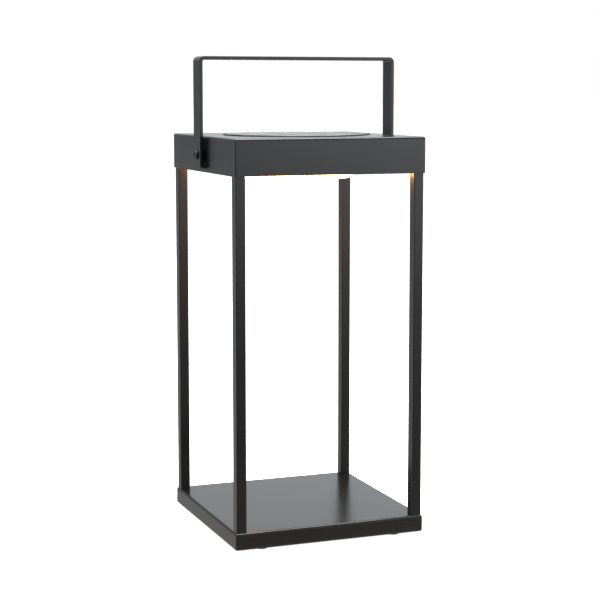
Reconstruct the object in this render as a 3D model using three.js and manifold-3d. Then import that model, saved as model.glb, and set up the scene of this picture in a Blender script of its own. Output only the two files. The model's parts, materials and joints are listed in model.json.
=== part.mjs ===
// Solar lantern: a square open frame of four posts between a pan-shaped base and a box-shaped head.
// The head holds a round solar light module, and a flat strap handle swings over it.
// Millimetres, +Z up. X runs along the front face, Y towards the back, and Z = 0 is the surface that the
// rubber feet stand on, under the centre of the square.

import * as THREE from 'three';
import { mergeVertices } from 'three/addons/utils/BufferGeometryUtils.js';
import Module from 'manifold-3d';

const manifold = await Module();
manifold.setup();

// ---- driving dimensions ----

const WIDTH = 170; // outer side of the square base and head
const SHEET = 1.2; // folded steel sheet
const FOOT_HEIGHT = 1; // rubber pad below the base rim
const BASE_HEIGHT = 14.6;
const HEAD_BOTTOM = 309.9;
const HEAD_HEIGHT = 30.7;
const CORNER_RADIUS = 1.1; // outside of a folded or welded sheet edge
const POST_SIDE = 9;
const POST_WALL = 1;
const POST_RADIUS = 0.9;
const PLATE_RECESS = 2; // chassis plate above the head's lower rim

const PIVOT_Z = 324.5;
const HANDLE_TOP = 407.7;
const STRAP_WIDTH = 18;
const STRAP_THICK = 3;
const STRAP_BEND = 4.5; // outside radius where the strap turns into the crossbar
const STRAP_GAP = 1.6; // between the head's side and the strap
const STRAP_END = 11.8; // strap below the pivot
const RUNNING_GAP = 0.1;
const GLUE = 0.1; // bead of adhesive

const MODULE_RADIUS = 60.5; // light housing
const BEZEL_RADIUS = 62.9; // trim ring that stands a little proud of the head's round hole
const DIFFUSER_RADIUS = 51;
const DIFFUSER_DROP = 4; // diffuser below the head's lower rim
const CELL_RADIUS = 9.1; // 18650 cell
const CELL_LENGTH = 65;
const SCREW_RADIUS = 2; // M4
const SWITCH_Y = 71.5;
const BUTTON_TRAVEL = 1.3;

// ---- worked out from them ----

const HALF = WIDTH / 2;
const INNER = HALF - SHEET;
const BASE_TOP = FOOT_HEIGHT + BASE_HEIGHT;
const HEAD_TOP = HEAD_BOTTOM + HEAD_HEIGHT;
const PLATE_BOTTOM = HEAD_BOTTOM + PLATE_RECESS;
const PLATE_TOP = PLATE_BOTTOM + SHEET;
const POST_CENTRE = INNER - POST_SIDE / 2;
const CORNERS = [
  ['front_left', -1, -1],
  ['front_right', 1, -1],
  ['back_right', 1, 1],
  ['back_left', -1, 1],
];
const SIDES = [['left', -1], ['right', 1]];

// ---- materials ----

const finish = (color, roughness, metalness, extra = {}) =>
  new THREE.MeshStandardMaterial({ color, roughness, metalness, ...extra });

const POWDER_COAT = finish(0x2b2c2d, 0.5, 0.3);
const BLACK_STEEL = finish(0x1b1b1c, 0.4, 0.8);
const ZINC = finish(0xb4b6b8, 0.35, 1);
const BLACK_PLASTIC = finish(0x18191a, 0.5, 0);
const RUBBER = finish(0x111111, 0.9, 0);
const NYLON = finish(0x202020, 0.55, 0);
const CLEAR = finish(0xdfe4e8, 0.05, 0, { transparent: true, opacity: 0.35 });
const SOLAR = finish(0x0d1524, 0.25, 0.1);
const OPAL = finish(0xfff0d2, 0.5, 0);
const WHITE_PLASTIC = finish(0xf0efe9, 0.6, 0);
const BOARD_GREEN = finish(0x14502c, 0.5, 0);
const BOARD_WHITE = finish(0xe9e9e2, 0.5, 0);
const CELL_WRAP = finish(0x2f6fa5, 0.4, 0);
const WIRE_RED = finish(0xa01818, 0.5, 0);
const WIRE_BLACK = finish(0x161616, 0.5, 0);

// ---- solids ----

const ROUND_SIDES = 40; // facets round the light module
const SMALL_SIDES = 12; // and round a screw

// A closed body for joining and cutting, from a geometry already in its place.
function solid(geometry) {
  const bare = geometry.clone();
  bare.deleteAttribute('normal');
  bare.deleteAttribute('uv');
  const merged = mergeVertices(bare, 1e-4);
  return new manifold.Manifold(new manifold.Mesh({
    numProp: 3,
    vertProperties: new Float32Array(merged.attributes.position.array),
    triVerts: new Uint32Array(merged.index.array),
  }));
}

function geometryOf(body) {
  const mesh = body.getMesh();
  const geometry = new THREE.BufferGeometry();
  geometry.setAttribute('position', new THREE.BufferAttribute(mesh.vertProperties, 3));
  geometry.setIndex(new THREE.BufferAttribute(mesh.triVerts, 1));
  geometry.computeVertexNormals();
  return geometry;
}

const box = (x0, x1, y0, y1, z0, z1) =>
  solid(new THREE.BoxGeometry(x1 - x0, y1 - y0, z1 - z0)
    .translate((x0 + x1) / 2, (y0 + y1) / 2, (z0 + z1) / 2));

// An upright cylinder, and one that lies along X.
const rod = (radius, x, y, z0, z1, sides = 16) =>
  solid(new THREE.CylinderGeometry(radius, radius, z1 - z0, sides)
    .rotateX(Math.PI / 2).translate(x, y, (z0 + z1) / 2));

const rodAlongX = (radius, y, z, x0, x1, sides = 16) =>
  solid(new THREE.CylinderGeometry(radius, radius, Math.abs(x1 - x0), sides)
    .rotateZ(Math.PI / 2).translate((x0 + x1) / 2, y, z));

// A turned body about Z from [radius, z] points listed upwards along its outside.
function turned(points, sides = ROUND_SIDES) {
  const profile = points.map(([r, z]) => new THREE.Vector2(r, z));
  return solid(new THREE.LatheGeometry(profile, sides).rotateX(Math.PI / 2));
}

function ring(points, sides = ROUND_SIDES) {
  return turned([...points, points[0]], sides);
}

function roundedSquare(side, radius) {
  const h = side / 2;
  const k = h - radius;
  const shape = new THREE.Shape();
  shape.moveTo(-k, -h);
  shape.absarc(k, -k, radius, -Math.PI / 2, 0, false);
  shape.absarc(k, k, radius, 0, Math.PI / 2, false);
  shape.absarc(-k, k, radius, Math.PI / 2, Math.PI, false);
  shape.absarc(-k, -k, radius, Math.PI, 1.5 * Math.PI, false);
  return shape;
}

// A square block with rounded upright edges and softened edges at its top and bottom.
function softBlock(side, z0, z1, radius, soften) {
  const geometry = new THREE.ExtrudeGeometry(roundedSquare(side, radius), {
    depth: z1 - z0 - 2 * soften,
    curveSegments: 2,
    bevelEnabled: true,
    bevelThickness: soften,
    bevelSize: soften,
    bevelOffset: -soften,
    bevelSegments: 1,
  });
  return solid(geometry.translate(0, 0, z0 + soften));
}

const lantern = new THREE.Group();

function add(name, geometry, material) {
  const mesh = new THREE.Mesh(geometry, material);
  mesh.name = name;
  lantern.add(mesh);
  return mesh;
}

const addBody = (name, body, material) => add(name, geometryOf(body), material);

// ---- base ----

const RIM_FLANGE = 16; // sheet turned in under the base
const RIM_REACH = 70; // half length of each turned-in strip, cut back to leave room for the corner screws
const SCREW_CLEARANCE = 2.3;

function base() {
  let pan = softBlock(WIDTH, FOOT_HEIGHT, BASE_TOP, CORNER_RADIUS, 0.7);
  const floor = FOOT_HEIGHT + SHEET;
  pan = pan.subtract(box(-INNER, INNER, -INNER, INNER, floor, BASE_TOP - SHEET));
  const reach = HALF - RIM_FLANGE;
  pan = pan.subtract(box(-reach, reach, -reach, reach, 0, floor + 1));
  for (const [, sx, sy] of CORNERS) {
    const [x0, x1] = sx < 0 ? [-INNER, -RIM_REACH] : [RIM_REACH, INNER];
    const [y0, y1] = sy < 0 ? [-INNER, -RIM_REACH] : [RIM_REACH, INNER];
    pan = pan.subtract(box(x0, x1, y0, y1, 0, floor + 1));
    pan = pan.subtract(
      rod(SCREW_CLEARANCE, sx * POST_CENTRE, sy * POST_CENTRE, BASE_TOP - 2 * SHEET, BASE_TOP + 1),
    );
  }
  addBody('base_pan', pan, POWDER_COAT);
}

const FOOT_RADIUS = 6;
const FOOT_X = 60;
const FOOT_INSET = 8.2; // foot's centre from the front or back of the base

function feet() {
  for (const [corner, sx, sy] of CORNERS) {
    const y = sy * (HALF - FOOT_INSET);
    addBody(`foot_pad_${corner}`, rod(FOOT_RADIUS, sx * FOOT_X, y, 0, FOOT_HEIGHT, 24), RUBBER);
  }
}

// ---- posts, their threaded plugs and screws ----

const PLUG_LENGTH = 12;
const PLUG_BORE = SCREW_RADIUS + 0.15;
const POST_SCREW_LENGTH = 10;
const PAN_HEAD_RADIUS = 3.8;
const PAN_HEAD_HEIGHT = 2.4;

function postTube() {
  const section = roundedSquare(POST_SIDE, POST_RADIUS);
  section.holes.push(roundedSquare(POST_SIDE - 2 * POST_WALL, 0.3));
  return new THREE.ExtrudeGeometry(section, {
    depth: PLATE_BOTTOM - BASE_TOP,
    curveSegments: 2,
    bevelEnabled: false,
  }).translate(0, 0, BASE_TOP);
}

function postPlug(z0) {
  const side = POST_SIDE - 2 * POST_WALL;
  const block = new THREE.ExtrudeGeometry(roundedSquare(side, 0.5), {
    depth: PLUG_LENGTH,
    curveSegments: 2,
    bevelEnabled: false,
  }).translate(0, 0, z0);
  return solid(block).subtract(rod(PLUG_BORE, 0, 0, z0 - 1, z0 + PLUG_LENGTH + 1));
}

// A pan-head screw along Z: way is +1 where the shank points up and -1 where it points down.
function panScrew(seat, way, length) {
  const profile = [
    [0, PAN_HEAD_HEIGHT],
    [2.8, PAN_HEAD_HEIGHT],
    [PAN_HEAD_RADIUS, PAN_HEAD_HEIGHT * 0.4],
    [PAN_HEAD_RADIUS, 0],
    [SCREW_RADIUS, 0],
    [SCREW_RADIUS, -length],
    [0, -length],
  ].reverse();
  const geometry = geometryOf(turned(profile, SMALL_SIDES));
  if (way > 0) geometry.rotateX(Math.PI);
  return geometry.translate(0, 0, seat);
}

function posts() {
  const pieces = [
    ['post', postTube(), POWDER_COAT],
    ['post_plug_lower', geometryOf(postPlug(BASE_TOP)), ZINC],
    ['post_plug_upper', geometryOf(postPlug(PLATE_BOTTOM - PLUG_LENGTH)), ZINC],
    ['post_screw_lower', panScrew(BASE_TOP - SHEET, 1, POST_SCREW_LENGTH), ZINC],
    ['post_screw_upper', panScrew(PLATE_TOP, -1, POST_SCREW_LENGTH), ZINC],
  ];
  for (const [corner, sx, sy] of CORNERS) {
    for (const [name, geometry, material] of pieces) {
      add(`${name}_${corner}`, geometry, material).position.set(sx * POST_CENTRE, sy * POST_CENTRE, 0);
    }
  }
}

// ---- head: sheet shell over a folded chassis ----

const MODULE_HOLE = BEZEL_RADIUS + 0.3;
const PLATE_HOLE = DIFFUSER_RADIUS + 0.5;
const FLANGE_REACH = 62; // half length of the chassis's turned-up edges
const FLANGE_HEIGHT = 9;
const EAR_REACH = 12;
const EAR_TOP = PIVOT_Z + 9;
const BUSHING_RADIUS = 5;

function headShell() {
  const tall = softBlock(WIDTH, HEAD_BOTTOM - 5, HEAD_TOP, CORNER_RADIUS, 0.7);
  let shell = tall.subtract(box(-HALF - 1, HALF + 1, -HALF - 1, HALF + 1, HEAD_BOTTOM - 6, HEAD_BOTTOM));
  shell = shell.subtract(box(-INNER, INNER, -INNER, INNER, HEAD_BOTTOM - 1, HEAD_TOP - SHEET));
  shell = shell.subtract(rod(MODULE_HOLE, 0, 0, HEAD_TOP - 2 * SHEET, HEAD_TOP + 1, ROUND_SIDES));
  shell = shell.subtract(rodAlongX(SCREW_CLEARANCE, 0, PIVOT_Z, -HALF - 1, HALF + 1));
  addBody('head_shell', shell, POWDER_COAT);
}

function headChassis() {
  let tray = box(-INNER, INNER, -INNER, INNER, PLATE_BOTTOM, PLATE_TOP);
  const inside = INNER - SHEET;
  for (const s of [-1, 1]) {
    const [low, high] = s < 0 ? [-INNER, -inside] : [inside, INNER];
    tray = tray.add(box(-FLANGE_REACH, FLANGE_REACH, low, high, PLATE_BOTTOM, PLATE_TOP + FLANGE_HEIGHT));
    tray = tray.add(box(low, high, -FLANGE_REACH, FLANGE_REACH, PLATE_BOTTOM, PLATE_TOP + FLANGE_HEIGHT));
    tray = tray.add(box(low, high, -EAR_REACH, EAR_REACH, PLATE_BOTTOM, EAR_TOP));
  }
  tray = tray.subtract(rod(PLATE_HOLE, 0, 0, PLATE_BOTTOM - 1, PLATE_TOP + 1, ROUND_SIDES));
  tray = tray.subtract(rod(BUSHING_RADIUS + 0.2, 0, SWITCH_Y, PLATE_BOTTOM - 1, PLATE_TOP + 1));
  tray = tray.subtract(rodAlongX(SCREW_CLEARANCE, 0, PIVOT_Z, -HALF, HALF));
  for (const [, sx, sy] of CORNERS) {
    tray = tray.subtract(
      rod(SCREW_CLEARANCE, sx * POST_CENTRE, sy * POST_CENTRE, PLATE_BOTTOM - 1, PLATE_TOP + 1),
    );
  }
  for (const [x, y] of lugPlaces()) {
    tray = tray.subtract(rod(LUG_SCREW_RADIUS + 0.2, x, y, PLATE_BOTTOM - 1, PLATE_TOP + 1, 16));
  }
  addBody('head_chassis', tray, BLACK_STEEL);
}

// ---- round light module ----

const WALL = 2;
const DECK_BOTTOM = PLATE_TOP + 4.4;
const DECK_TOP = DECK_BOTTOM + 1.2;
const HOUSING_TOP = HEAD_TOP - SHEET;
const SEAL_THICK = 1.1; // foam ring pressed against the underside of the head
const COLLAR_FLANGE = MODULE_RADIUS + 5.5; // carries the seal
const COLLAR_FLANGE_TOP = HOUSING_TOP - SEAL_THICK;
const COLLAR_FLANGE_THICK = 1.2;
const LUG_ANGLES = [30, 150, 270]; // degrees about Z, clear of the switch at the back
const LUG_RADIUS = 4;
const LUG_AT = MODULE_RADIUS + 2.6;
const LUG_HEIGHT = 9;
const LUG_SCREW_RADIUS = 1.4;
const LUG_SCREW_LENGTH = 8;
const WIRE_HOLE = 2.6;
const SWITCH_WIRE_Z = 330;
const LED_WIRE_Y = 40;

function lugPlaces() {
  return LUG_ANGLES.map((degrees) => {
    const turn = THREE.MathUtils.degToRad(degrees);
    return [LUG_AT * Math.cos(turn), LUG_AT * Math.sin(turn)];
  });
}

function lightHousing() {
  const inside = MODULE_RADIUS - WALL;
  let housing = turned([
    [0, DECK_BOTTOM],
    [inside, DECK_BOTTOM],
    [inside, PLATE_TOP],
    [MODULE_RADIUS, PLATE_TOP],
    [MODULE_RADIUS, COLLAR_FLANGE_TOP - COLLAR_FLANGE_THICK],
    [COLLAR_FLANGE, COLLAR_FLANGE_TOP - COLLAR_FLANGE_THICK],
    [COLLAR_FLANGE, COLLAR_FLANGE_TOP],
    [MODULE_RADIUS, COLLAR_FLANGE_TOP],
    [MODULE_RADIUS, HOUSING_TOP],
    [inside, HOUSING_TOP],
    [inside, DECK_TOP],
    [0, DECK_TOP],
  ]);
  for (const [x, y] of lugPlaces()) {
    const lug = rod(LUG_RADIUS, x, y, PLATE_TOP, PLATE_TOP + LUG_HEIGHT, 20);
    housing = housing.add(lug.subtract(rod(inside + 0.5, 0, 0, PLATE_TOP - 1, HOUSING_TOP, ROUND_SIDES)));
  }
  for (const [x, y] of lugPlaces()) {
    housing = housing.subtract(
      rod(LUG_SCREW_RADIUS + 0.1, x, y, PLATE_TOP - 1, PLATE_TOP + LUG_HEIGHT - 1, 16),
    );
  }
  housing = housing.subtract(rod(WIRE_HOLE, 0, LED_WIRE_Y, DECK_BOTTOM - 1, DECK_TOP + 1, 16));
  const window = box(
    -WIRE_HOLE, WIRE_HOLE,
    inside - 3, MODULE_RADIUS + 3,
    SWITCH_WIRE_Z - 2, SWITCH_WIRE_Z + 4,
  );
  addBody('light_housing', housing.subtract(window), BLACK_PLASTIC);
}

function moduleScrews() {
  lugPlaces().forEach(([x, y], i) => {
    const profile = [
      [0, -1.7],
      [1.8, -1.7],
      [2.5, -1.2],
      [2.7, 0],
      [LUG_SCREW_RADIUS, 0],
      [LUG_SCREW_RADIUS, LUG_SCREW_LENGTH - 1.6],
      [0.3, LUG_SCREW_LENGTH],
      [0, LUG_SCREW_LENGTH],
    ];
    const screw = turned(profile, SMALL_SIDES);
    const slotted = screw.subtract(box(-2, 2, -0.35, 0.35, -3, -1));
    add(`module_screw_${i + 1}`, geometryOf(slotted), ZINC).position.set(x, y, PLATE_BOTTOM);
  });
}

const FLANGE_TOP = PLATE_TOP + 1.5;
const BOARD_BOTTOM = DECK_BOTTOM - 1.6;
const BOARD_RADIUS = 50;

function diffuser() {
  const r = DIFFUSER_RADIUS;
  const low = HEAD_BOTTOM - DIFFUSER_DROP;
  const skin = 1.6;
  const flange = r + 3.5;
  addBody('diffuser', turned([
    [0, low],
    [r - 4, low],
    [r - 1.2, low + 1.1],
    [r, low + 3.6],
    [r, PLATE_TOP],
    [flange, PLATE_TOP],
    [flange, FLANGE_TOP],
    [r - skin, FLANGE_TOP],
    [r - skin, low + 4],
    [r - 2.4, low + 2.3],
    [r - 4.5, low + skin],
    [0, low + skin],
  ]), OPAL);
}

function reflector() {
  addBody('reflector_ring', ring([
    [DIFFUSER_RADIUS - 2, FLANGE_TOP],
    [MODULE_RADIUS - WALL - 0.4, FLANGE_TOP],
    [MODULE_RADIUS - WALL - 0.4, BOARD_BOTTOM],
    [BOARD_RADIUS - 3.5, BOARD_BOTTOM],
  ]), WHITE_PLASTIC);
}

const LED_COUNT = 12;
const LED_CIRCLE = 34;

function ledBoard() {
  let board = rod(BOARD_RADIUS, 0, 0, BOARD_BOTTOM, DECK_BOTTOM, ROUND_SIDES);
  for (let i = 0; i < LED_COUNT; i += 1) {
    const turn = (i / LED_COUNT) * 2 * Math.PI;
    const x = LED_CIRCLE * Math.cos(turn);
    const y = LED_CIRCLE * Math.sin(turn);
    board = board.add(box(x - 1.75, x + 1.75, y - 1.4, y + 1.4, BOARD_BOTTOM - 0.8, BOARD_BOTTOM + 0.5));
  }
  addBody('led_board', board, BOARD_WHITE);
}

// ---- battery, charge board and solar panel ----

const CELL_Y = -20;
const CRADLE_FLOOR = 0.9;
const CRADLE_WALL = 1.2;
const CRADLE_LENGTH = 76;
const CRADLE_HEIGHT = 11;
const CONTACT_THICK = 0.4;
const CONTACT_GAP = 3.2; // cradle end to the cell's end

function battery() {
  const half = CRADLE_LENGTH / 2;
  const reach = CELL_RADIUS + 0.3;
  const floor = DECK_TOP + CRADLE_FLOOR;
  const top = DECK_TOP + CRADLE_HEIGHT;
  let cradle = box(-half, half, CELL_Y - reach - CRADLE_WALL, CELL_Y + reach + CRADLE_WALL, DECK_TOP, top);
  cradle = cradle.subtract(
    box(-half + CRADLE_WALL, half - CRADLE_WALL, CELL_Y - reach, CELL_Y + reach, floor, top + 1),
  );
  addBody('battery_cradle', cradle, BLACK_PLASTIC);

  const axisZ = floor + CELL_RADIUS;
  const cell = rodAlongX(CELL_RADIUS, CELL_Y, axisZ, -CELL_LENGTH / 2, CELL_LENGTH / 2 - 1, 32)
    .add(rodAlongX(3, CELL_Y, axisZ, CELL_LENGTH / 2 - 2, CELL_LENGTH / 2, 16));
  addBody('battery_cell', cell, CELL_WRAP);

  // Leaf contacts: a plate against the cradle's end wall and a tongue sprung towards the cell.
  for (const [side, s] of [['negative', -1], ['positive', 1]]) {
    const wall = half - CRADLE_WALL;
    const plate = new THREE.Shape();
    plate.moveTo(wall, floor + 1);
    plate.lineTo(wall, axisZ + 6);
    plate.lineTo(wall - CONTACT_THICK, axisZ + 6);
    plate.lineTo(wall - CONTACT_THICK, axisZ + 2.4);
    plate.lineTo(wall - CONTACT_GAP, axisZ + 0.6);
    plate.lineTo(wall - CONTACT_GAP, axisZ - 0.6);
    plate.lineTo(wall - CONTACT_THICK, axisZ - 2.4);
    plate.lineTo(wall - CONTACT_THICK, floor + 1);
    plate.closePath();
    const tongue = new THREE.ExtrudeGeometry(plate, { depth: 7, bevelEnabled: false })
      .rotateX(Math.PI / 2)
      .translate(0, CELL_Y + 3.5, 0);
    if (s < 0) tongue.rotateZ(Math.PI).translate(0, 2 * CELL_Y, 0);
    add(`battery_contact_${side}`, tongue, ZINC);
  }
}

const CHARGE_Y = 18;
const CHARGE_HALF_X = 23;
const CHARGE_HALF_Y = 13;
const CHARGE_BOTTOM = DECK_TOP + 2;
const CHARGE_TOP = CHARGE_BOTTOM + 1.6;

function chargeBoard() {
  const y = CHARGE_Y;
  let board = box(
    -CHARGE_HALF_X, CHARGE_HALF_X,
    y - CHARGE_HALF_Y, y + CHARGE_HALF_Y,
    CHARGE_BOTTOM, CHARGE_TOP,
  );
  for (const sx of [-1, 1]) {
    for (const sy of [-1, 1]) {
      board = board.add(rod(2, sx * 20, y + sy * 10, DECK_TOP, CHARGE_BOTTOM + 0.5, 12));
    }
  }
  board = board.add(box(-4, 2, y - 3, y + 3, CHARGE_BOTTOM + 1, CHARGE_TOP + 1.4)); // controller chip
  board = board.add(box(6, 12, y - 4, y + 2, CHARGE_BOTTOM + 1, CHARGE_TOP + 3)); // coil
  board = board.add(rod(3, -13, y - 2, CHARGE_BOTTOM + 1, CHARGE_TOP + 6, 16)); // capacitor
  addBody('charge_board', board, BOARD_GREEN);
}

const PANEL_THICK = 1.2;
const SKIRT_INSIDE = MODULE_RADIUS - 1.8;
const BEZEL_LEDGE = HEAD_TOP + 0.1; // carries the clear cover
const BEZEL_TOP = HEAD_TOP + 1;
const BEZEL_LAND = 1.9; // from the ring's outside to the cover
const COVER_RISE = 0.4; // middle of the cover above the ring
const LIFT_TAB_ANGLE = -21;

function solarTop() {
  addBody('seal_ring', ring([
    [MODULE_HOLE + 0.2, COLLAR_FLANGE_TOP],
    [COLLAR_FLANGE - 0.2, COLLAR_FLANGE_TOP],
    [COLLAR_FLANGE - 0.2, HOUSING_TOP],
    [MODULE_HOLE + 0.2, HOUSING_TOP],
  ]), RUBBER);

  const coverRadius = BEZEL_RADIUS - BEZEL_LAND;
  let bezel = ring([
    [SKIRT_INSIDE, HOUSING_TOP],
    [BEZEL_RADIUS, HOUSING_TOP],
    [BEZEL_RADIUS, BEZEL_TOP - 0.8],
    [BEZEL_RADIUS - 0.25, BEZEL_TOP - 0.3],
    [BEZEL_RADIUS - 0.8, BEZEL_TOP],
    [coverRadius, BEZEL_TOP],
    [coverRadius, BEZEL_LEDGE],
    [SKIRT_INSIDE, BEZEL_LEDGE],
  ]);
  const tab = new THREE.BoxGeometry(3.4, 5, 0.8)
    .translate(BEZEL_RADIUS + 0.5, 0, BEZEL_TOP - 0.4)
    .rotateZ(THREE.MathUtils.degToRad(LIFT_TAB_ANGLE));
  bezel = bezel.add(solid(tab));
  addBody('solar_bezel', bezel, BLACK_PLASTIC);

  const edge = coverRadius - 0.2;
  const dome = [0.92, 0.75, 0.5, 0.25].map((share) => [
    edge * share,
    BEZEL_TOP + COVER_RISE * (1 - share ** 2),
  ]);
  addBody('solar_cover', turned([
    [0, BEZEL_LEDGE + GLUE],
    [edge, BEZEL_LEDGE + GLUE],
    [edge, BEZEL_TOP],
    ...dome,
    [0, BEZEL_TOP + COVER_RISE],
  ]), CLEAR);

  const panelBottom = BEZEL_LEDGE - PANEL_THICK;
  addBody('solar_panel', rod(SKIRT_INSIDE - 0.3, 0, 0, panelBottom, BEZEL_LEDGE, ROUND_SIDES), SOLAR);
}

// ---- switch ----

const SWITCH_RADIUS = 6.5;
const SWITCH_TOP = PLATE_TOP + 12;
const BUSHING_BOTTOM = HEAD_BOTTOM + 0.4;
const BUTTON_RADIUS = 3.6;
const BUTTON_BOTTOM = HEAD_BOTTOM - 1.2;
const COLLAR_RADIUS = 4.2;
const COLLAR_BOTTOM = PLATE_TOP - 0.4;
const COLLAR_TOP = COLLAR_BOTTOM + 1;
const STEM_RADIUS = 1.5;
const SLIDE_GAP = 0.15;

function switchAndButton() {
  const chamberTop = COLLAR_TOP + BUTTON_TRAVEL + 0.3;
  const body = turned([
    [STEM_RADIUS + SLIDE_GAP, chamberTop],
    [COLLAR_RADIUS + SLIDE_GAP, chamberTop],
    [COLLAR_RADIUS + SLIDE_GAP, COLLAR_BOTTOM - RUNNING_GAP],
    [BUTTON_RADIUS + SLIDE_GAP, COLLAR_BOTTOM - RUNNING_GAP],
    [BUTTON_RADIUS + SLIDE_GAP, BUSHING_BOTTOM],
    [BUSHING_RADIUS, BUSHING_BOTTOM],
    [BUSHING_RADIUS, PLATE_TOP],
    [SWITCH_RADIUS, PLATE_TOP],
    [SWITCH_RADIUS, SWITCH_TOP],
    [0, SWITCH_TOP],
    [0, SWITCH_TOP - 3],
    [STEM_RADIUS + SLIDE_GAP, SWITCH_TOP - 3],
    [STEM_RADIUS + SLIDE_GAP, chamberTop],
  ], 24);
  add('switch_body', geometryOf(body), BLACK_PLASTIC).position.y = SWITCH_Y;

  const nut = new THREE.CylinderGeometry(7, 7, PLATE_BOTTOM - BUSHING_BOTTOM - 0.3, 6)
    .rotateX(Math.PI / 2)
    .translate(0, 0, (PLATE_BOTTOM + BUSHING_BOTTOM + 0.3) / 2);
  const bored = solid(nut).subtract(rod(BUSHING_RADIUS + 0.1, 0, 0, HEAD_BOTTOM - 1, PLATE_TOP));
  add('switch_nut', geometryOf(bored), BLACK_STEEL).position.y = SWITCH_Y;

  const button = turned([
    [0, BUTTON_BOTTOM],
    [BUTTON_RADIUS - 0.5, BUTTON_BOTTOM],
    [BUTTON_RADIUS, BUTTON_BOTTOM + 0.4],
    [BUTTON_RADIUS, COLLAR_BOTTOM],
    [COLLAR_RADIUS, COLLAR_BOTTOM],
    [COLLAR_RADIUS, COLLAR_TOP],
    [STEM_RADIUS, COLLAR_TOP],
    [STEM_RADIUS, SWITCH_TOP - 3.3 - BUTTON_TRAVEL],
    [0, SWITCH_TOP - 3.3 - BUTTON_TRAVEL],
  ], 24);
  add('power_button', geometryOf(button), BLACK_PLASTIC).position.y = SWITCH_Y;
}

// ---- leads inside the module, each along its own route ----

const LEAD_SIDES = 8;

function lead(name, points, material, halfWidth, halfHeight, steps) {
  const section = new THREE.Shape();
  for (let i = 0; i < LEAD_SIDES; i += 1) {
    const turn = ((i + 0.5) / LEAD_SIDES) * 2 * Math.PI;
    const at = [halfWidth * Math.cos(turn), halfHeight * Math.sin(turn)];
    if (i === 0) section.moveTo(...at);
    else section.lineTo(...at);
  }
  section.closePath();
  const path = new THREE.CatmullRomCurve3(points.map((p) => new THREE.Vector3(...p)));
  add(name, new THREE.ExtrudeGeometry(section, { steps, extrudePath: path, bevelEnabled: false }), material);
}

function leads() {
  const half = CRADLE_LENGTH / 2;
  const wire = 0.7;
  const twin = 1.2;
  const boardZ = CHARGE_TOP + 0.3;
  for (const [name, s, material] of [['red', 1, WIRE_RED], ['black', -1, WIRE_BLACK]]) {
    lead(`battery_lead_${name}`, [
      [s * (half + 0.3), CELL_Y, 328],
      [s * (half + 3), CELL_Y, 328],
      [s * (half + 5), CELL_Y + 6, 327.6],
      [s * (half + 3), -4, 327],
      [s * 31, 8, 327],
      [s * 23, 12, 327],
      [s * 20.5, 14, 326],
      [s * 20.5, 14, boardZ],
    ], material, wire, wire, 18);
  }
  lead('solar_lead', [
    [20, 30, BEZEL_LEDGE - PANEL_THICK - 0.3],
    [20, 30, 336],
    [24, 36, 332],
    [24, 38, 328],
    [18, 34, 327.5],
    [15.4, 26, 327.5],
    [15, 24.5, 326.4],
    [15, 24.5, boardZ],
  ], WIRE_RED, twin, wire, 14);
  lead('led_lead', [
    [-6, 26, boardZ],
    [-6, 26, 326.4],
    [-5, 30, 328.5],
    [-1, 39, 326.5],
    [0, LED_WIRE_Y, 323],
    [0, LED_WIRE_Y, DECK_BOTTOM + 0.3],
  ], WIRE_BLACK, twin, wire, 12);
  lead('switch_lead', [
    [6, 27, boardZ],
    [6, 27, 326.4],
    [5, 34, 330],
    [1, 50, 331.5],
    [0, 60, 331.5],
    [0, 67, 331.5],
    [0, SWITCH_Y - 1, 330],
    [0, SWITCH_Y, SWITCH_TOP + 0.3],
  ], WIRE_BLACK, twin, wire, 16);
}

// ---- handle, its pivots and their fasteners ----

const STRAP_INNER = HALF + STRAP_GAP;
const STRAP_OUTER = STRAP_INNER + STRAP_THICK;
const STRAP_CORNER = 3;
const PIVOT_BORE = SCREW_RADIUS + RUNNING_GAP;
const SPACER_RADIUS = 5.2;
const BUTTON_HEAD_RADIUS = 3.8;
const BUTTON_HEAD_HEIGHT = 2.2;
const NUT_HEIGHT = 3.2;
const NUT_ACROSS = 7;

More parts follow.
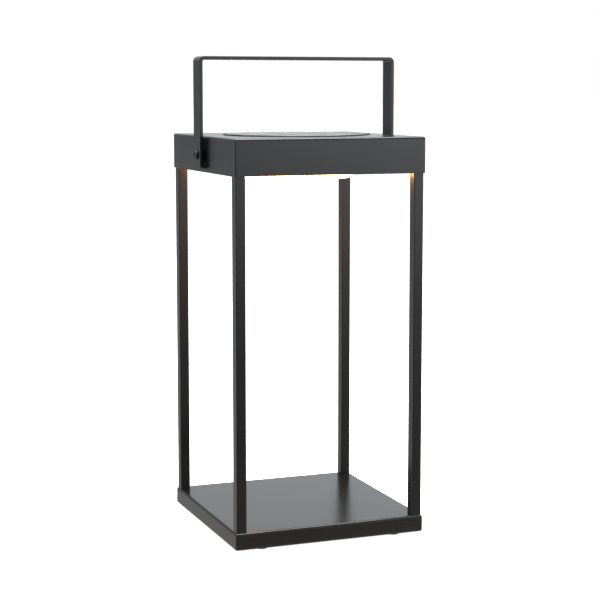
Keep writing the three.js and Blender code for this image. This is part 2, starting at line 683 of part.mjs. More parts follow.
function handleStrap() {
  const low = PIVOT_Z - STRAP_END;
  const inner = STRAP_BEND - STRAP_THICK;
  const bendX = STRAP_OUTER - STRAP_BEND;
  const bendZ = HANDLE_TOP - STRAP_BEND;
  const side = new THREE.Shape();
  side.moveTo(STRAP_OUTER, low);
  side.lineTo(STRAP_OUTER, bendZ);
  side.absarc(bendX, bendZ, STRAP_BEND, 0, Math.PI / 2, false);
  side.absarc(-bendX, bendZ, STRAP_BEND, Math.PI / 2, Math.PI, false);
  side.lineTo(-STRAP_OUTER, low);
  side.lineTo(-STRAP_INNER, low);
  side.absarc(-bendX, bendZ, inner, Math.PI, Math.PI / 2, true);
  side.absarc(bendX, bendZ, inner, Math.PI / 2, 0, true);
  side.lineTo(STRAP_INNER, low);
  side.closePath();
  const bent = new THREE.ExtrudeGeometry(side, { depth: STRAP_WIDTH, curveSegments: 5, bevelEnabled: false })
    .rotateX(Math.PI / 2)
    .translate(0, STRAP_WIDTH / 2, 0);

  // The strap's outline seen along X rounds off the corners of its two ends.
  const halfWidth = STRAP_WIDTH / 2;
  const face = new THREE.Shape();
  face.moveTo(-halfWidth, HANDLE_TOP + 5);
  face.lineTo(-halfWidth, low + STRAP_CORNER);
  face.absarc(-halfWidth + STRAP_CORNER, low + STRAP_CORNER, STRAP_CORNER, Math.PI, 1.5 * Math.PI, false);
  face.absarc(halfWidth - STRAP_CORNER, low + STRAP_CORNER, STRAP_CORNER, 1.5 * Math.PI, 2 * Math.PI, false);
  face.lineTo(halfWidth, HANDLE_TOP + 5);
  face.closePath();
  const solidBlade = { depth: 2 * HALF + 40, curveSegments: 4, bevelEnabled: false };
  const blade = new THREE.ExtrudeGeometry(face, solidBlade)
    .translate(0, 0, -HALF - 20)
    .rotateX(Math.PI / 2)
    .rotateZ(Math.PI / 2);

  const bores = rodAlongX(PIVOT_BORE, 0, PIVOT_Z, -STRAP_OUTER - 1, STRAP_OUTER + 1, 24);
  addBody('handle_strap', solid(bent).intersect(solid(blade)).subtract(bores), POWDER_COAT);
}

// Pivot screw, spacer and nut for one side, turned about X and modelled for the right.
function pivotParts() {
  const seat = STRAP_OUTER + RUNNING_GAP;
  const shankEnd = INNER - SHEET - NUT_HEIGHT - 1;
  const screwProfile = [
    [0, shankEnd],
    [SCREW_RADIUS - 0.5, shankEnd],
    [SCREW_RADIUS, shankEnd + 0.6],
    [SCREW_RADIUS, seat],
    [BUTTON_HEAD_RADIUS, seat],
    [BUTTON_HEAD_RADIUS, seat + 0.4],
    [BUTTON_HEAD_RADIUS * 0.86, seat + BUTTON_HEAD_HEIGHT * 0.7],
    [BUTTON_HEAD_RADIUS * 0.6, seat + BUTTON_HEAD_HEIGHT],
    [0, seat + BUTTON_HEAD_HEIGHT],
  ];
  const socket = solid(new THREE.CylinderGeometry(1.44, 1.44, 3, 6).rotateX(Math.PI / 2)
    .translate(0, 0, seat + BUTTON_HEAD_HEIGHT + 0.2));
  const nutReach = NUT_ACROSS / Math.sqrt(3);
  const nutHex = new THREE.CylinderGeometry(nutReach, nutReach, NUT_HEIGHT, 6)
    .rotateX(Math.PI / 2)
    .translate(0, 0, INNER - SHEET - NUT_HEIGHT / 2);
  const spacer = ring([
    [SCREW_RADIUS + 0.15, HALF],
    [SPACER_RADIUS, HALF],
    [SPACER_RADIUS, STRAP_INNER - RUNNING_GAP],
    [SCREW_RADIUS + 0.15, STRAP_INNER - RUNNING_GAP],
  ], 24);
  return [
    ['pivot_screw', turned(screwProfile, 16).subtract(socket), BLACK_STEEL],
    ['pivot_spacer', spacer, NYLON],
    ['pivot_nut', solid(nutHex).subtract(rod(SCREW_RADIUS + 0.15, 0, 0, 0, HALF)), ZINC],
  ];
}

function pivots() {
  for (const [name, body, material] of pivotParts()) {
    for (const [side, s] of SIDES) {
      const mesh = addBody(`${name}_${side}`, body, material);
      mesh.rotation.y = (s * Math.PI) / 2;
      mesh.position.z = PIVOT_Z;
    }
  }
}

base();
feet();
posts();
headShell();
headChassis();
lightHousing();
moduleScrews();
diffuser();
reflector();
ledBoard();
battery();
chargeBoard();
solarTop();
switchAndButton();
leads();
handleStrap();
pivots();

export default lantern;
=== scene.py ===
"""The solar lantern's looks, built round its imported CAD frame.

Black powder-coated sheet and tube, a round solar module in the head, a warm opal diffuser under it
and a strap handle. Everything is in metres in the frame's own axes: X along the front, Y towards
the back, Z up.
"""

import json
import math

import bmesh
import bpy
from mathutils import Matrix, Vector

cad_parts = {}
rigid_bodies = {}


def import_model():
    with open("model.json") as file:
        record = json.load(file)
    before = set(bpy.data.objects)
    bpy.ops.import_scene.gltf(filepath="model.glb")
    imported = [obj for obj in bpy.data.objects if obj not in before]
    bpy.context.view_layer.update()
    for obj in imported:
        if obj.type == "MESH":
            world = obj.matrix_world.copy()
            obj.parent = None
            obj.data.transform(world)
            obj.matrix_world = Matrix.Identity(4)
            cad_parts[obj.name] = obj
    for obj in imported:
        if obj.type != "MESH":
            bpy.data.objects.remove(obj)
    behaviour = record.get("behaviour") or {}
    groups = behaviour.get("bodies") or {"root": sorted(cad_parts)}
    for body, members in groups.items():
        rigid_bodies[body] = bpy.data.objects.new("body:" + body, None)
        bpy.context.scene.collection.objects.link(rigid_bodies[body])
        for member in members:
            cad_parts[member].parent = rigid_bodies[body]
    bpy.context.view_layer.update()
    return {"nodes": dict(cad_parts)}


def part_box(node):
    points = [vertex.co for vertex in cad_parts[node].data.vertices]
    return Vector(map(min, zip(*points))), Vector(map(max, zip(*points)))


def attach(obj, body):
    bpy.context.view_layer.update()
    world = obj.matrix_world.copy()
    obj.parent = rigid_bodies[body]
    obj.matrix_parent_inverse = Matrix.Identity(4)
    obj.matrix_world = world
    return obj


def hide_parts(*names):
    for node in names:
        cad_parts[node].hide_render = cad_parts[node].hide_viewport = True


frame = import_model()

MM = 0.001
BODY = "lantern"
CORNERS = ("front_left", "front_right", "back_right", "back_left")
SIDES = ("left", "right")
BOTH_WAYS = (-1, 1)

# ---------------------------------------------------------------- camera

CAMERA_AT = (-0.4956, -1.3024, 0.3823)
CAMERA_YAW = 21.0  # degrees to the right of +Y
CAMERA_PITCH = 6.55  # degrees below the horizon
LENS = 95.95
SHIFT_Y = -0.05
SENSOR_WIDTH = 36
FAR_CLIP = 50


def make_camera():
    data = bpy.data.cameras.new("camera")
    data.lens = LENS
    data.sensor_width = SENSOR_WIDTH
    data.shift_y = SHIFT_Y
    data.clip_end = FAR_CLIP
    camera = bpy.data.objects.new("camera", data)
    camera.location = CAMERA_AT
    camera.rotation_euler = (math.radians(90 - CAMERA_PITCH), 0, math.radians(-CAMERA_YAW))
    bpy.context.scene.collection.objects.link(camera)
    bpy.context.scene.camera = camera


make_camera()

# ---------------------------------------------------------------- materials


def shader(name, color, roughness, **sockets):
    """A Principled material; returns it with its node tree and shader node."""
    material = bpy.data.materials.new(name)
    material.use_nodes = True
    tree = material.node_tree
    principled = tree.nodes["Principled BSDF"]
    principled.inputs["Base Color"].default_value = (*color, 1)
    principled.inputs["Roughness"].default_value = roughness
    for socket, value in sockets.items():
        principled.inputs[socket.replace("_", " ")].default_value = value
    return material, tree, principled


def coordinates(tree, scale=(1, 1, 1)):
    """Object coordinates in metres, stretched by scale."""
    place = tree.nodes.new("ShaderNodeTexCoord")
    mapping = tree.nodes.new("ShaderNodeMapping")
    mapping.inputs["Scale"].default_value = scale
    tree.links.new(place.outputs["Object"], mapping.inputs["Vector"])
    return mapping.outputs["Vector"]


def noise(tree, vector, scale, detail=2.0, roughness=0.5):
    node = tree.nodes.new("ShaderNodeTexNoise")
    node.inputs["Scale"].default_value = scale
    node.inputs["Detail"].default_value = detail
    node.inputs["Roughness"].default_value = roughness
    tree.links.new(vector, node.inputs["Vector"])
    return node.outputs["Fac"]


def spread(tree, value, low, high, start=0.3, end=0.7):
    """Maps a texture's value to a number between low and high."""
    node = tree.nodes.new("ShaderNodeMapRange")
    node.inputs["From Min"].default_value = start
    node.inputs["From Max"].default_value = end
    node.inputs["To Min"].default_value = low
    node.inputs["To Max"].default_value = high
    tree.links.new(value, node.inputs["Value"])
    return node.outputs["Result"]


def blend_colors(tree, value, first, second, start=0.3, end=0.7):
    """Maps a texture's value to a colour between first and second."""
    ramp = tree.nodes.new("ShaderNodeValToRGB")
    ramp.color_ramp.elements[0].position = start
    ramp.color_ramp.elements[0].color = (*first, 1)
    ramp.color_ramp.elements[1].position = end
    ramp.color_ramp.elements[1].color = (*second, 1)
    tree.links.new(value, ramp.inputs["Fac"])
    return ramp.outputs["Color"]


# a colour Mix node's sockets; their names repeat for each kind of data, so they go by number
MIX_FACTOR, MIX_FIRST, MIX_SECOND, MIX_RESULT = 0, 6, 7, 2


def mix_colors(tree, factor, first, second):
    """Blends two colours by factor; each is a socket or a fixed colour."""
    node = tree.nodes.new("ShaderNodeMix")
    node.data_type = "RGBA"
    tree.links.new(factor, node.inputs[MIX_FACTOR])
    for socket, value in ((MIX_FIRST, first), (MIX_SECOND, second)):
        if isinstance(value, tuple):
            node.inputs[socket].default_value = value
        else:
            tree.links.new(value, node.inputs[socket])
    return node.outputs[MIX_RESULT]


def bump(tree, principled, height, distance, strength=1.0, under=None):
    node = tree.nodes.new("ShaderNodeBump")
    node.inputs["Distance"].default_value = distance
    node.inputs["Strength"].default_value = strength
    tree.links.new(height, node.inputs["Height"])
    if under is not None:
        tree.links.new(under, node.inputs["Normal"])
    tree.links.new(node.outputs["Normal"], principled.inputs["Normal"])
    return node.outputs["Normal"]


def powder_coat():
    """Satin black coat: faintly cloudy gloss, a fine orange peel and a finer grain."""
    material, tree, principled = shader("powder_coat", (0.006, 0.0062, 0.0064), 0.24)
    place = coordinates(tree)
    cloud = noise(tree, place, 28, 4)
    grain = noise(tree, place, 2600, 2)
    peel = noise(tree, place, 620, 3)
    tree.links.new(blend_colors(tree, cloud, (0.0048, 0.0050, 0.0052), (0.0070, 0.0073, 0.0076)),
                   principled.inputs["Base Color"])
    tree.links.new(spread(tree, cloud, 0.238, 0.252), principled.inputs["Roughness"])
    first = bump(tree, principled, peel, 0.000006)
    bump(tree, principled, grain, 0.0000012, under=first)
    return material


def moulded_black():
    """Black ABS: fine spark-eroded texture."""
    material, tree, principled = shader("moulded_black", (0.014, 0.014, 0.015), 0.45)
    place = coordinates(tree)
    grain = noise(tree, place, 3200, 2)
    cloud = noise(tree, place, 60, 3)
    tree.links.new(spread(tree, cloud, 0.4, 0.52), principled.inputs["Roughness"])
    tree.links.new(blend_colors(tree, cloud, (0.011, 0.011, 0.012), (0.018, 0.018, 0.019)),
                   principled.inputs["Base Color"])
    bump(tree, principled, grain, 0.00001)
    return material


def rubber():
    material, tree, principled = shader("rubber", (0.01, 0.01, 0.01), 0.8, Specular_IOR_Level=0.3)
    place = coordinates(tree)
    dust = noise(tree, place, 900, 4)
    tree.links.new(blend_colors(tree, dust, (0.007, 0.007, 0.007), (0.02, 0.0195, 0.019)),
                   principled.inputs["Base Color"])
    bump(tree, principled, noise(tree, place, 2400, 2), 0.00002)
    return material


def metal(name, low, high, roughness, scale=(1, 1, 40)):
    """Turned or rolled bright metal, streaked along one direction."""
    material, tree, principled = shader(name, low, roughness, Metallic=1.0)
    place = coordinates(tree, scale)
    streak = noise(tree, place, 300, 5)
    tree.links.new(blend_colors(tree, streak, low, high), principled.inputs["Base Color"])
    tree.links.new(spread(tree, streak, roughness - 0.06, roughness + 0.1),
                   principled.inputs["Roughness"])
    bump(tree, principled, streak, 0.000006)
    return material


def clear_cover():
    """Clear moulded cover with a satin face and a faint ripple."""
    material, tree, principled = shader(
        "clear_cover", (0.93, 0.95, 0.96), 0.4, Transmission_Weight=1.0, IOR=1.45)
    ripple = noise(tree, coordinates(tree), 45, 2)
    tree.links.new(spread(tree, ripple, 0.4, 0.48), principled.inputs["Roughness"])
    bump(tree, principled, ripple, 0.00002)
    return material


FINGER_SILVER = (0.35, 0.36, 0.38, 1)


def solar_silicon():
    """Dark blue silicon crossed by hair-thin silver fingers."""
    material, tree, principled = shader("solar_silicon", (0.006, 0.009, 0.022), 0.22)
    fingers = tree.nodes.new("ShaderNodeTexWave")
    fingers.wave_type = "BANDS"
    fingers.bands_direction = "X"
    fingers.wave_profile = "SIN"
    fingers.inputs["Scale"].default_value = 170
    tree.links.new(coordinates(tree), fingers.inputs["Vector"])
    grain = noise(tree, coordinates(tree), 90, 3)
    base = blend_colors(tree, grain, (0.004, 0.007, 0.018), (0.009, 0.014, 0.034))
    share = spread(tree, fingers.outputs["Fac"], 0, 1, 0.965, 0.995)
    tree.links.new(mix_colors(tree, share, base, FINGER_SILVER), principled.inputs["Base Color"])
    return material


LAMP_LOW = (1.0, 0.40, 0.11)  # warm white of about 2700 K
LAMP_HIGH = (1.0, 0.46, 0.15)
LAMP_POWER = 26.0


def opal():
    """Opal diffuser lit from inside, its glow varying a little in a soft cloud."""
    material, tree, principled = shader(
        "opal", (0.93, 0.86, 0.74), 0.42, Subsurface_Weight=0.2, Emission_Strength=LAMP_POWER)
    principled.inputs["Subsurface Radius"].default_value = (0.004, 0.003, 0.002)
    principled.inputs["Subsurface Scale"].default_value = 1.0
    place = coordinates(tree)
    cloud = noise(tree, place, 60, 2)
    tree.links.new(blend_colors(tree, cloud, LAMP_LOW, LAMP_HIGH),
                   principled.inputs["Emission Color"])
    bump(tree, principled, noise(tree, place, 1800, 2), 0.00001)
    return material


def plain_plastic(name, low, high, roughness, texture=1500):
    material, tree, principled = shader(name, low, roughness)
    place = coordinates(tree)
    cloud = noise(tree, place, 140, 4)
    tree.links.new(blend_colors(tree, cloud, low, high), principled.inputs["Base Color"])
    tree.links.new(spread(tree, cloud, roughness - 0.05, roughness + 0.05),
                   principled.inputs["Roughness"])
    bump(tree, principled, noise(tree, place, texture, 2), 0.00001)
    return material


def floor_paint():
    material, tree, principled = shader(
        "floor_paint", (0.9, 0.9, 0.9), 0.7, Specular_IOR_Level=0.2, Emission_Strength=0.95)
    principled.inputs["Emission Color"].default_value = (1, 1, 1, 1)
    cloud = noise(tree, coordinates(tree), 3, 3)
    tree.links.new(blend_colors(tree, cloud, (0.90, 0.90, 0.90), (0.93, 0.93, 0.93)),
                   principled.inputs["Base Color"])
    return material


COAT = powder_coat()
BLACK = moulded_black()
RUBBER = rubber()
ZINC = metal("zinc_plate", (0.45, 0.46, 0.47), (0.62, 0.62, 0.6), 0.32)
BLACK_STEEL = metal("blackened_steel", (0.03, 0.03, 0.032), (0.055, 0.055, 0.057), 0.38)
CLEAR = clear_cover()
SILICON = solar_silicon()
OPAL = opal()
RIBBON = metal("ribbon", (0.3, 0.31, 0.32), (0.4, 0.4, 0.41), 0.4, (1, 1, 1))
BACKING = plain_plastic("panel_backing", (0.012, 0.014, 0.02), (0.018, 0.02, 0.028), 0.35)
WHITE = plain_plastic("white_plastic", (0.82, 0.81, 0.78), (0.88, 0.87, 0.84), 0.5)
BOARD_WHITE = plain_plastic("white_mask", (0.78, 0.78, 0.75), (0.84, 0.84, 0.81), 0.4)
BOARD_GREEN = plain_plastic("green_mask", (0.010, 0.09, 0.035), (0.014, 0.13, 0.05), 0.3)
WRAP = plain_plastic("cell_wrap", (0.025, 0.15, 0.33), (0.035, 0.18, 0.38), 0.28)
WIRE_RED = plain_plastic("red_wire", (0.38, 0.012, 0.012), (0.45, 0.02, 0.02), 0.4)
WIRE_BLACK = plain_plastic("black_wire", (0.012, 0.012, 0.012), (0.02, 0.02, 0.02), 0.45)

# ---------------------------------------------------------------- mesh helpers

ARC_STEPS = 6
ROUND_STEPS = 128
PIECES = []


def piece(name, bm, material, slot, *nodes, body=BODY):
    """Makes an object of bm that stands for the named CAD nodes and rides on their body."""
    bmesh.ops.remove_doubles(bm, verts=bm.verts, dist=1e-7)
    bmesh.ops.recalc_face_normals(bm, faces=bm.faces)
    mesh = bpy.data.meshes.new(name)
    bm.to_mesh(mesh)
    bm.free()
    obj = bpy.data.objects.new(name, mesh)
    bpy.context.scene.collection.objects.link(obj)
    mesh.materials.append(material)
    soften(obj)
    PIECES.append(obj.name)
    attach(obj, body)
    if nodes:
        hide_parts(*nodes)
    return obj


def soften(obj, angle=35):
    obj.data.shade_smooth()
    obj.data.set_sharp_from_angle(angle=math.radians(angle))


def arc(cx, cy, radius, start, end, steps=ARC_STEPS):
    """Points round part of a circle, in degrees."""
    points = []
    for i in range(steps + 1):
        turn = math.radians(start + (end - start) * i / steps)
        points.append((cx + radius * math.cos(turn), cy + radius * math.sin(turn)))
    return points


def join_loops(bm, loops, closed):
    """Quads between neighbouring loops of points; the last loop joins the first if closed."""
    rings = [[bm.verts.new(point) for point in loop] for loop in loops]
    pairs = list(zip(rings, rings[1:]))
    if closed:
        pairs.append((rings[-1], rings[0]))
    for low, high in pairs:
        for i in range(len(low)):
            j = (i + 1) % len(low)
            bm.faces.new((low[i], low[j], high[j], high[i]))
    return rings


def cap(bm, ring):
    bm.faces.new(ring)


def spin(profile, closed=False, steps=ROUND_STEPS):
    """A turned body about Z from (radius, z) points. A point on the axis becomes a tip."""
    bm = bmesh.new()
    rings = []
    for r, z in profile:
        if r < 1e-9:
            rings.append([bm.verts.new((0, 0, z))])
        else:
            turns = [2 * math.pi * i / steps for i in range(steps)]
            rings.append([bm.verts.new((r * math.cos(t), r * math.sin(t), z)) for t in turns])
    pairs = list(zip(rings, rings[1:]))
    if closed:
        pairs.append((rings[-1], rings[0]))
    for low, high in pairs:
        for i in range(steps):
            j = (i + 1) % steps
            if len(low) == 1 and len(high) == 1:
                continue
            if len(low) == 1:
                bm.faces.new((low[0], high[j], high[i]))
            elif len(high) == 1:
                bm.faces.new((low[i], low[j], high[0]))
            else:
                bm.faces.new((low[i], low[j], high[j], high[i]))
    return bm


def rounded(profile, radius, steps=4):
    """The same outline with marked corners rounded: (r, z) or (r, z, share of the radius)."""
    result = []
    count = len(profile)
    for i, point in enumerate(profile):
        here = Vector(point[:2])
        share = point[2] if len(point) > 2 else 0
        if share <= 0 or i == 0 or i == count - 1:
            result.append(tuple(here))
            continue
        before = Vector(profile[i - 1][:2]) - here
        after = Vector(profile[i + 1][:2]) - here
        reach = min(radius * share, before.length * 0.45, after.length * 0.45)
        start = here + before.normalized() * reach
        end = here + after.normalized() * reach
        for k in range(steps + 1):
            t = k / steps
            result.append(tuple(start * (1 - t) ** 2 + here * 2 * t * (1 - t) + end * t ** 2))
    return result


def move(bm, offset=(0, 0, 0), turn=None):
    matrix = Matrix.Translation(offset)
    if turn is not None:
        matrix = matrix @ turn
    bmesh.ops.transform(bm, matrix=matrix, verts=bm.verts)
    return bm


SIDE_SHARES = [k / 14 for k in range(-14, 15)]  # points along half a side, either way from its middle
SIDE_REACH = 0.97  # share of the flat that they cover, short of where the corner's round starts


def square_loop(half, radius, z, steps=ARC_STEPS):
    """A rounded square at height z, with points along its sides that a round hole can follow."""
    points = []
    for quarter in range(4):
        c, s = [(1, 0), (0, 1), (-1, 0), (0, -1)][quarter]
        flat = []
        k = half - radius
        for share in SIDE_SHARES:
            flat.append((half, k * SIDE_REACH * share))
        flat += arc(k, k, radius, 0, 90, steps)
        points += [(x * c - y * s, x * s + y * c, z) for x, y in flat]
    return points


def round_loop(radius, z, like):
    """A circle whose points lie at the same angles as those of another loop."""
    points = []
    for x, y, _ in like:
        turn = math.atan2(y, x)
        points.append((radius * math.cos(turn), radius * math.sin(turn), z))
    return points


def flatten_shading():
    """Lets each large flat face set the shading at its edges, so that small rounds don't bend it."""
    for obj in bpy.context.scene.objects:
        if obj.type == "MESH" and obj.name in PIECES:
            modifier = obj.modifiers.new("flat_faces", "WEIGHTED_NORMAL")
            modifier.keep_sharp = True


def cutter(bm):
    mesh = bpy.data.meshes.new("cutter")
    bmesh.ops.recalc_face_normals(bm, faces=bm.faces)
    bm.to_mesh(mesh)
    bm.free()
    obj = bpy.data.objects.new("cutter", mesh)
    bpy.context.scene.collection.objects.link(obj)
    return obj


def cut(obj, bm, operation="DIFFERENCE"):
    """Cuts bm out of obj, or joins it on with "UNION", and keeps the result as obj's mesh."""
    tool = cutter(bm)
    modifier = obj.modifiers.new("cut", "BOOLEAN")
    modifier.operation = operation
    modifier.solver = "EXACT"
    modifier.object = tool
    depsgraph = bpy.context.evaluated_depsgraph_get()
    result = bpy.data.meshes.new_from_object(obj.evaluated_get(depsgraph))
    obj.modifiers.remove(modifier)
    old = obj.data
    name = old.name
    obj.data = result
    bpy.data.meshes.remove(old)
    result.name = name
    bpy.data.objects.remove(tool)
    soften(obj)


def rod_bm(radius, x, y, z0, z1, steps=48):
    return move(spin([(0, z0), (radius, z0), (radius, z1), (0, z1)], steps=steps), (x, y, 0))


def box_bm(low, high):
    bm = bmesh.new()
    bmesh.ops.create_cube(bm, size=1)
    size = Vector(high) - Vector(low)
    middle = (Vector(high) + Vector(low)) / 2
    place = Matrix.Translation(middle) @ Matrix.Diagonal((*size, 1))
    bmesh.ops.transform(bm, matrix=place, verts=bm.verts)
    return bm


def merge(*parts):
    """Several bmeshes as one."""
    whole = bmesh.new()
    for part in parts:
        mesh = bpy.data.meshes.new("part")
        part.to_mesh(mesh)
        part.free()
        whole.from_mesh(mesh)
        bpy.data.meshes.remove(mesh)
    return whole


ALONG_X = Matrix.Rotation(math.radians(90), 4, "Y")
UPSIDE_DOWN = Matrix.Rotation(math.pi, 4, "X")

# ---------------------------------------------------------------- frame sizes

SHEET = 1.2 * MM
BEND = 2.0 * MM  # outside radius of a folded edge
INNER_BEND = 0.8 * MM
UPRIGHT_EDGE = 1.5 * MM  # welded and ground upright corner
SMALLEST_CORNER = 0.15 * MM

base_low, base_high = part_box("base_pan")
head_low, head_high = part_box("head_shell")
plate_low, plate_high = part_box("head_chassis")
HALF = head_high.x
POST_AT = (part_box("post_back_right")[0].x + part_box("post_back_right")[1].x) / 2
PIVOT_Z = (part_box("pivot_spacer_right")[0].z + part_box("pivot_spacer_right")[1].z) / 2
SCREW_HOLE = 2.3 * MM  # radius, for the M4 screws
BREAK = 0.25 * MM  # small break along a cut sheet edge
DRILL_REACH = HALF * 1.2


def pivot_drill(radius):
    """A rod across the whole lantern along the pivots' axis."""
    return move(rod_bm(radius, 0, 0, -DRILL_REACH, DRILL_REACH), (0, 0, PIVOT_Z), ALONG_X)


# ---------------------------------------------------------------- sheet metal


def fold(half, corner, z_flat, z_wall, radius):
    """Loops round a folded edge, from the flat face at z_flat to the upright wall."""
    way = 1 if z_flat > z_wall else -1
    centre = z_flat - way * radius
    loops = []
    for x, rise in arc(half - radius, 0, radius, 90, 0):
        inset = half - x
        loops.append(square_loop(x, max(corner - inset, SMALLEST_CORNER), centre + way * rise))
    return loops


RING_GAP = 0.3 * MM  # between the module's trim ring and the round hole


def head_shell():
    """Box of folded sheet, open below, with a round hole in its top."""
    hole = -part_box("solar_bezel")[0].x + RING_GAP
    edge = BREAK
    inner = HALF - SHEET
    low, high = head_low.z, head_high.z
    outside = fold(HALF, UPRIGHT_EDGE, high, low, BEND)
    inside = fold(inner, INNER_BEND, high - SHEET, low, INNER_BEND)
    first = outside[0]
    loops = [
        round_loop(hole, high - SHEET + edge, first),
        round_loop(hole, high - edge, first),
        round_loop(hole + edge, high, first),
        *outside,
        square_loop(HALF, UPRIGHT_EDGE, low + edge),
        square_loop(HALF - edge, UPRIGHT_EDGE - edge, low),
        square_loop(inner + edge, INNER_BEND, low),
        square_loop(inner, INNER_BEND, low + edge),
        *reversed(inside),
        round_loop(hole + edge, high - SHEET, first),
    ]
    bm = bmesh.new()
    join_loops(bm, loops, closed=True)
    shell = piece("head_shell_sheet", bm, COAT, "powder_coat", "head_shell")
    cut(shell, pivot_drill(SCREW_HOLE))


STRIP_WIDTH = 16 * MM  # turned-in strip below the base, out to the pan's side
STRIP_CORNER = 0.2 * MM
NOTCH_AT = 70 * MM  # the corner notches start here, out from the middle


def base_pan():
    """Folded pan with turned-in strips below, cut back at the corners for the screws."""
    low, high = base_low.z, base_high.z
    inner = HALF - SHEET
    reach = HALF - STRIP_WIDTH
    edge = BREAK
    outside = fold(HALF, UPRIGHT_EDGE, high, low, BEND)
    below = fold(HALF, UPRIGHT_EDGE, low, high, BEND)
    inside_low = fold(inner, INNER_BEND, low + SHEET, high, INNER_BEND)
    inside_high = fold(inner, INNER_BEND, high - SHEET, low, INNER_BEND)
    loops = [
        *outside,
        *reversed(below),
        square_loop(reach + edge, STRIP_CORNER, low),
        square_loop(reach, STRIP_CORNER, low + edge),
        square_loop(reach, STRIP_CORNER, low + SHEET - edge),
        square_loop(reach + edge, STRIP_CORNER, low + SHEET),
        *inside_low,
        *reversed(inside_high),
    ]
    bm = bmesh.new()
    rings = join_loops(bm, loops, closed=False)
    cap(bm, rings[0])
    cap(bm, rings[-1])
    pan = piece("base_pan_sheet", bm, COAT, "powder_coat", "base_pan")
    tools = []
    for sx in BOTH_WAYS:
        for sy in BOTH_WAYS:
            x0, x1 = sorted((sx * NOTCH_AT, sx * inner))
            y0, y1 = sorted((sy * NOTCH_AT, sy * inner))
            tools.append(box_bm((x0, y0, low - MM), (x1, y1, low + SHEET + 0.5 * MM)))
            tools.append(
                rod_bm(SCREW_HOLE, sx * POST_AT, sy * POST_AT, high - 2 * SHEET, high + MM))
    cut(pan, merge(*tools))


def posts():
    """Square tubes with rounded corners and a fine break at their ends."""
    edge = 0.15 * MM
    wall = 1.0 * MM
    radius = 0.95 * MM
    bore = 0.35 * MM
    for corner in CORNERS:
        low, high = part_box(f"post_{corner}")
        middle = (low + high) / 2
        half = (high.x - low.x) / 2
        loops = [
            square_loop(half - edge, radius - edge, low.z),
            square_loop(half, radius, low.z + edge),
            square_loop(half, radius, high.z - edge),
            square_loop(half - edge, radius - edge, high.z),
            square_loop(half - wall, bore, high.z),
            square_loop(half - wall, bore, low.z),
        ]
        bm = bmesh.new()
        join_loops(bm, loops, closed=True)
        move(bm, (middle.x, middle.y, 0))
        piece(f"post_{corner}_tube", bm, COAT, "powder_coat", f"post_{corner}")


DIFFUSER_FLANGE = 3.5 * MM  # flange round the diffuser's wall
DIFFUSER_GAP = 0.5 * MM  # round that wall, in the plate
BUSHING_HOLE = 5.2 * MM
FLANGE_REACH = 62 * MM  # turned-up edges, either way from the middle of each side
FLANGE_HEIGHT = 9 * MM
EAR_REACH = 12 * MM
MODULE_SCREW_HOLE = 1.6 * MM


def head_chassis():
    """Plate under the head's works with its turned-up edges and ears."""
    inner = plate_high.x
    low = plate_low.z
    high = low + SHEET
    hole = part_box("diffuser")[1].x - DIFFUSER_FLANGE + DIFFUSER_GAP
    edge = 0.2 * MM
    first = square_loop(inner, UPRIGHT_EDGE, low + edge)
    loops = [
        first,
        square_loop(inner, UPRIGHT_EDGE, high - edge),
        square_loop(inner - edge, UPRIGHT_EDGE, high),
        round_loop(hole + edge, high, first),
        round_loop(hole, high - edge, first),
        round_loop(hole, low + edge, first),
        round_loop(hole + edge, low, first),
        square_loop(inner - edge, UPRIGHT_EDGE, low),
    ]
    bm = bmesh.new()
    join_loops(bm, loops, closed=True)
    flange_top = high + FLANGE_HEIGHT
    plate = piece("head_chassis_sheet", bm, BLACK_STEEL, "black_steel", "head_chassis")
    for sx in BOTH_WAYS:
        x0, x1 = sorted((sx * (inner - SHEET), sx * inner))
        cut(plate, box_bm((x0, -FLANGE_REACH, high - edge), (x1, FLANGE_REACH, flange_top)), "UNION")
        cut(plate, box_bm((-FLANGE_REACH, x0, high - edge), (FLANGE_REACH, x1, flange_top)), "UNION")
        cut(plate, box_bm((x0, -EAR_REACH, high - edge), (x1, EAR_REACH, plate_high.z)), "UNION")
    tools = []
    for sx in BOTH_WAYS:
        for sy in BOTH_WAYS:
            tools.append(rod_bm(SCREW_HOLE, sx * POST_AT, sy * POST_AT, low - MM, high + MM))
    switch_low, switch_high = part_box("switch_body")
    tools.append(rod_bm(BUSHING_HOLE, 0, (switch_low.y + switch_high.y) / 2, low - MM, high + MM))
    for n in (1, 2, 3):
        screw_low, screw_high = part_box(f"module_screw_{n}")
        centre = (screw_low + screw_high) / 2
        tools.append(rod_bm(MODULE_SCREW_HOLE, centre.x, centre.y, low - MM, high + MM))
    cut(plate, merge(*tools))
    cut(plate, pivot_drill(SCREW_HOLE))


# ---------------------------------------------------------------- handle


def strap_section(width, thick, edge, steps=3):
    """A flat bar's section with eased edges: (across the width, through the thickness)."""
    w, t = width / 2, thick / 2
    points = []
    for cx, cy, start in ((w - edge, t - edge, 0), (-w + edge, t - edge, 90),
                          (-w + edge, -t + edge, 180), (w - edge, -t + edge, 270)):
        points += arc(cx, cy, edge, start, start + 90, steps)
    return points


STRAP_THICK = 3 * MM
STRAP_BEND = 4.5 * MM  # outside radius where a leg turns into the crossbar
STRAP_CORNER = 3 * MM
STRAP_EDGE = 0.4 * MM
STRAP_BORE = 2.1 * MM
LEG_TURN = 90  # a leg's direction, in degrees up from +X


